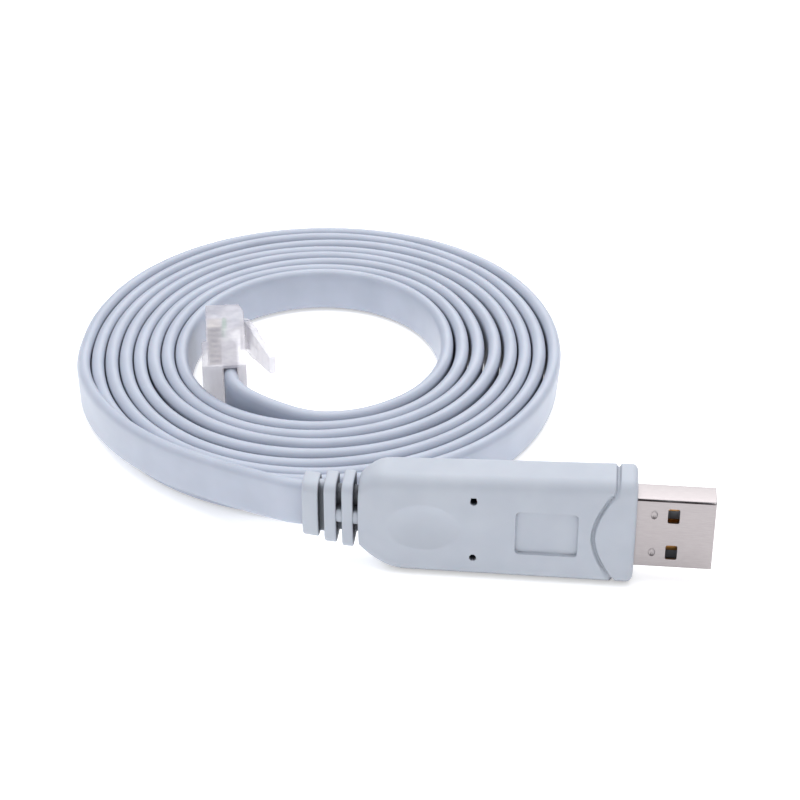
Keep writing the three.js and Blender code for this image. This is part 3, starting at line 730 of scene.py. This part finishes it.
# The plug's own frame: x through its thickness towards the latch, y towards its nose, z across
plug = {
    "rear": (-0.0494, 0.0365, 0.0), "yaw": 11.3, "width": 0.01168, "length": 0.0225,
    "contactSide": -0.0030, "latchSide": 0.0037, "noseTaper": (0.0007, 0.0030), "edge": 0.00022,
    "step": 0.00075, "stepSlope": 0.0004, "stepFromNose": 0.0133,
    "jacketShift": 0.0010, "jacketRise": 0.0012, "jacketDepth": 0.0110, "pocketGap": 0.00025,
    # the room for the conductors: its length, its reach past them across, and its two sides
    "channels": 0.0055, "channelMargin": 0.0006, "channelSides": (0.0001, 0.0015), "channelOverlap": 0.0004,
    "blades": 8, "pitch": 0.00102, "slot": 0.00056, "slotLength": 0.0047, "slotDepth": 0.0028,
    # start, end, width, depth and slope of the strain relief's wedge
    "wedge": (0.0026, 0.0068, 0.0084, 0.0014, 0.0012),
    # a cutter that starts this far out is clear of the plug
    "clear": 0.001,
}
latch = {
    "pivotFromNose": 0.0013, "setBack": 0.00015, "rise": 0.00005,
    "length": 0.0120, "thickness": 0.00115, "angle": 19.5,
    "rootWidth": 0.0060, "tipWidth": 0.0032, "shoulder": 0.0036, "neck": 0.0052, "taper": 0.0005,
    "rootHeight": 0.0012, "rootAhead": 0.0004, "edge": 0.00016,
    "channelDepth": 0.0003, "channelWidth": 0.0024, "channelStart": 0.0009,
    "channelPast": 0.0006,
}
plugFrame = Matrix.Translation(plug["rear"]) @ Matrix.Rotation(math.radians(plug["yaw"]), 4, "Z")
middle = plug["width"] / 2


def bevelled(obj, width, sharpAngle=35):
    bevel = obj.modifiers.new("bevel", "BEVEL")
    bevel.width = width
    bevel.segments = 3
    bevel.limit_method = "ANGLE"
    bevel.angle_limit = math.radians(sharpAngle)
    with bpy.context.temp_override(object=obj, active_object=obj, selected_objects=[obj]):
        bpy.ops.object.modifier_apply(modifier="bevel")
    obj.data.shade_smooth()
    obj.data.set_sharp_from_angle(angle=math.radians(sharpAngle))


contactX, latchX, length = plug["contactSide"], plug["latchSide"], plug["length"]
noseDrop, noseRun = plug["noseTaper"]
stepX, stepY, clear = contactX - plug["step"], length - plug["stepFromNose"], plug["clear"]
outline = [
    (stepX, 0), (latchX, 0), (latchX, length - noseRun), (latchX - noseDrop, length),
    (contactX, length), (contactX, stepY), (stepX, stepY - plug["stepSlope"]),
]
corners, faces = loftRings([[(x, y, z) for x, y in outline] for z in (0, plug["width"])])
plugBody = makeObject("modularPlugBody", corners, faces, clearMaterial, smooth=False)
bevelled(plugBody, plug["edge"])
halfThick = cable["thickness"] / 2 + plug["pocketGap"]
halfWide = cable["width"] / 2 + plug["pocketGap"]
jacketZ = middle + plug["jacketRise"]
cutBlock(plugBody, (plug["jacketShift"] - halfThick, -clear, jacketZ - halfWide),
         (plug["jacketShift"] + halfThick, plug["jacketDepth"], jacketZ + halfWide))
comb = plug["pitch"] * (plug["blades"] - 1) / 2 + plug["channelMargin"]
channelLow, channelHigh = plug["channelSides"]
cutBlock(plugBody, (channelLow, plug["jacketDepth"] - plug["channelOverlap"], middle - comb),
         (channelHigh, plug["jacketDepth"] + plug["channels"], middle + comb))
bladePlaces = [middle + (k - (plug["blades"] - 1) / 2) * plug["pitch"] for k in range(plug["blades"])]
for z in bladePlaces:
    cutBlock(plugBody, (contactX - clear, length - plug["slotLength"], z - plug["slot"] / 2),
             (contactX + plug["slotDepth"], length + clear, z + plug["slot"] / 2))
wedgeStart, wedgeEnd, wedgeWidth, wedgeDepth, wedgeSlope = plug["wedge"]
wedge = [(stepX - clear, wedgeStart - wedgeSlope / 2), (stepX - clear, wedgeEnd),
         (stepX + wedgeDepth, wedgeEnd), (stepX + wedgeDepth, wedgeEnd - wedgeSlope), (stepX, wedgeStart)]
wedgeSides = (middle - wedgeWidth / 2, middle + wedgeWidth / 2)
cutWith(plugBody, *loftRings([[(x, y, z) for x, y in wedge] for z in wedgeSides]))
plugBody.data.transform(plugFrame)
plugBody.data.shade_smooth()
plugBody.data.set_sharp_from_angle(angle=math.radians(35))
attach(plugBody, "cable")
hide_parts("rj45_body")

# Latch root: a small arch on the nose that the lever springs from, sunk a tenth of a millimetre in
rootHalf, sink = latch["rootWidth"] / 2, 0.0001
rootY = length - latch["pivotFromNose"] + latch["rootAhead"]
archBase, archHeight = latchX - noseDrop, latch["rootHeight"] + noseDrop * 0.8
arch = [(archBase - sink, rootY), (archBase + archHeight, rootY - sink)]
arch += [(archBase + archHeight * math.cos(math.radians(a)),
          rootY + (length - rootY - sink) * math.sin(math.radians(a))) for a in range(15, 91, 15)]
corners, faces = loftRings([[(x, y, z) for x, y in arch] for z in (middle - rootHalf, middle + rootHalf)])
latchRoot = makeObject("latchRoot", corners, faces, clearMaterial)
latchRoot.data.transform(plugFrame)
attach(latchRoot, "cable")

# Latch: the lever, narrower past the shoulders that catch in the socket
run, tipHalf, thick = latch["length"], latch["tipWidth"] / 2, latch["thickness"]
neckY, neckHalf = -latch["shoulder"] - latch["taper"], latch["neck"] / 2
lever = [(0.0, -rootHalf), (0.0, rootHalf), (-latch["shoulder"], rootHalf), (neckY, neckHalf),
         (-run, tipHalf), (-run, -tipHalf), (neckY, -neckHalf), (-latch["shoulder"], -rootHalf)]
corners, faces = loftRings([[(x, y, z) for y, z in lever] for x in (0, thick)])
plugLatch = makeObject("plugLatch", corners, faces, clearMaterial, smooth=False)
# a shallow channel runs along the lever's outer face, from its root to just past the shoulders
channelHalf = latch["channelWidth"] / 2
cutBlock(plugLatch, (thick - latch["channelDepth"], -latch["shoulder"] - latch["channelPast"], -channelHalf),
         (thick + clear, -latch["channelStart"], channelHalf))
bevelled(plugLatch, latch["edge"])
leverY = length - latch["pivotFromNose"] - latch["setBack"]
leverFrame = Matrix.Translation((latchX + latch["rise"], leverY, middle))
plugLatch.data.transform(plugFrame @ leverFrame @ Matrix.Rotation(math.radians(latch["angle"]), 4, "Z"))
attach(plugLatch, "latch")
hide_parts("rj45_latch")

# Conductors: solid-coloured polyethylene insulation, satin and slightly translucent
conductor = {
    "radius": 0.00047, "start": 0.0098, "end": 0.0208, "rise": -0.0008,
    # the share of its run over which each wire reaches its own blade, and its level
    "spreading": 0.35, "rising": 0.5, "bundle": 0.90,
    "colours": ["#7A7C80", "#D9702B", "#2A2B2E", "#B8322C", "#D8B52C", "#2F62A8", "#7B4A2C", "#3E8F63"],
}
for number, (z, colour) in enumerate(zip(bladePlaces, conductor["colours"])):
    insulation, tree, shader = startMaterial(f"extrudedPolyethylene{number + 1}", {
        "Roughness": 0.4, "IOR": 1.5,
    })
    coords = addNode(tree, "ShaderNodeTexCoord")
    shade = addNode(tree, "ShaderNodeTexNoise", {"Scale": 900.0}, {"Vector": (coords, "Object")})
    tones = addNode(tree, "ShaderNodeValToRGB", links={"Fac": (shade, "Fac")})
    tones.color_ramp.elements[0].color = [c * 0.85 for c in linearColour(colour)[:3]] + [1.0]
    tones.color_ramp.elements[1].color = linearColour(colour)
    tree.links.new(tones.outputs["Color"], shader.inputs["Base Color"])
    rings = []
    for k in range(15):
        t = k / 14
        y = conductor["start"] + (conductor["end"] - conductor["start"]) * t
        x = plug["jacketShift"] + conductor["rise"] * softStep(t / conductor["rising"])
        settled = softStep(t / conductor["spreading"])
        spacing = conductor["bundle"] + (1 - conductor["bundle"]) * settled
        zHere = middle + (z - middle) * spacing + plug["jacketRise"] * (1 - settled)
        rings.append([(x + conductor["radius"] * math.cos(a), y, zHere + conductor["radius"] * math.sin(a))
                      for a in [math.radians(30 * n) for n in range(12)]])
    wire = makeObject(f"conductor{number + 1}", *loftRings(rings), insulation)
    wire.data.transform(plugFrame)
    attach(wire, "cable")
print("modular plug made")


# Studio: a white floor, and soft light that is strongest from above
studio = {
    "floor": 4.0, "floorDrop": 0.0002, "glow": 0.45, "horizon": 0.30, "zenith": 0.92, "tint": "#FAFBFE",
    "topPlace": (-0.1, 0.25, 1.1), "topSize": 1.2, "topPower": 8.6,
    "backPlace": (0.05, 0.80, 0.50), "backSize": 0.6, "backPower": 2.0,
}
floorMaterial, tree, shader = startMaterial("whiteAcrylicLightTable", {
    "Base Color": linearColour("#FBFBFB"), "Roughness": 0.9, "Specular IOR Level": 0.2,
    "Emission Color": linearColour("#FFFFFF"), "Emission Strength": studio["glow"],
})
half = studio["floor"] / 2
floorCorners = [(half * x, half * y, -studio["floorDrop"]) for x, y in ((-1, -1), (1, -1), (1, 1), (-1, 1))]
floor = makeObject("floor", floorCorners, [(0, 1, 2, 3)], floorMaterial, smooth=False)
world = bpy.data.worlds.new("studioWorld")
bpy.context.scene.world = world
world.use_nodes = True
tree = world.node_tree
sky = addNode(tree, "ShaderNodeTexCoord")
direction = addNode(tree, "ShaderNodeSeparateXYZ", links={"Vector": (sky, "Generated")})
strength = addNode(tree, "ShaderNodeMapRange", {
    "From Min": 0.0, "From Max": 0.9, "To Min": studio["horizon"], "To Max": studio["zenith"],
}, {"Value": (direction, "Z")})
tree.nodes["Background"].inputs["Color"].default_value = linearColour(studio["tint"])
tree.links.new(strength.outputs["Result"], tree.nodes["Background"].inputs["Strength"])
for name in ("top", "back"):
    softbox = bpy.data.lights.new(f"{name}Light", "AREA")
    softbox.shape = "SQUARE"
    softbox.size = studio[f"{name}Size"]
    softbox.energy = studio[f"{name}Power"]
    lamp = bpy.data.objects.new(f"{name}Light", softbox)
    lamp.location = studio[f"{name}Place"]
    lamp.rotation_euler = (-Vector(lamp.location)).to_track_quat("-Z", "Y").to_euler()
    bpy.context.scene.collection.objects.link(lamp)
bpy.context.scene.view_settings.view_transform = "Standard"
bpy.context.scene.view_settings.look = "None"
print("studio lit")

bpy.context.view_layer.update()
# rj45 parts that ride on the cable's end
plugPieces = [node for name, node in frame["nodes"].items() if name.startswith("rj45")]
plugPieces = [node for node in plugPieces if "contact" in node.name] + [plugBody, latchRoot, plugLatch]
plugPieces += [bpy.data.objects[f"conductor{k + 1}"] for k in range(plug["blades"])]
